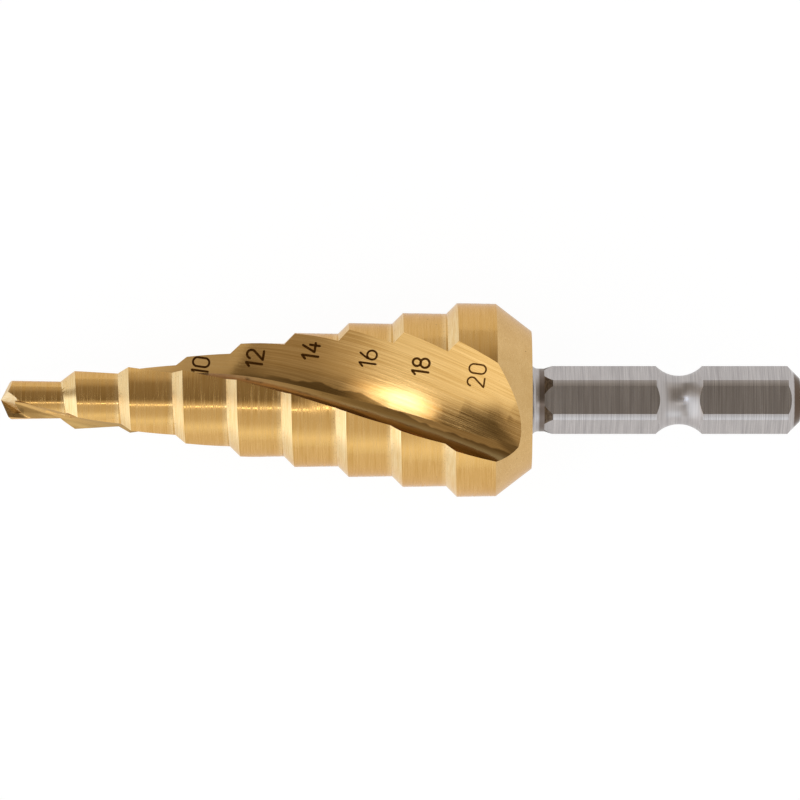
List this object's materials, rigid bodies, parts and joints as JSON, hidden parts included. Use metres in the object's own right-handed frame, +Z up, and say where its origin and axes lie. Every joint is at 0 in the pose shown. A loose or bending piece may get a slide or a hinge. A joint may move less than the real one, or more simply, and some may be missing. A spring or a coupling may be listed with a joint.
{
  "type": "step drill",
  "caption": "Step drill with two spiral flutes, relieved steps of growing diameter, a split point and a hexagonal quick-change shank.",
  "frame": {"origin": "the point on the resting surface under the middle of the drill's box; the drill lies on its steps, one flute underneath, its tip low", "axes": "+X from the tip towards the shank, along the drill as it lies, which rises 4.73 degrees towards the shank; +Z up; +Y to the left of that direction"},
  "size_m": [0.0818, 0.0198, 0.0182],
  "materials": {
    "coated_steel": "ground high-speed steel with a gold-coloured nitride coating on the working part, bare satin steel on the shank"
  },
  "bodies": {
    "root": {"step_drill": "coated_steel"}
  },
  "joints": []
}
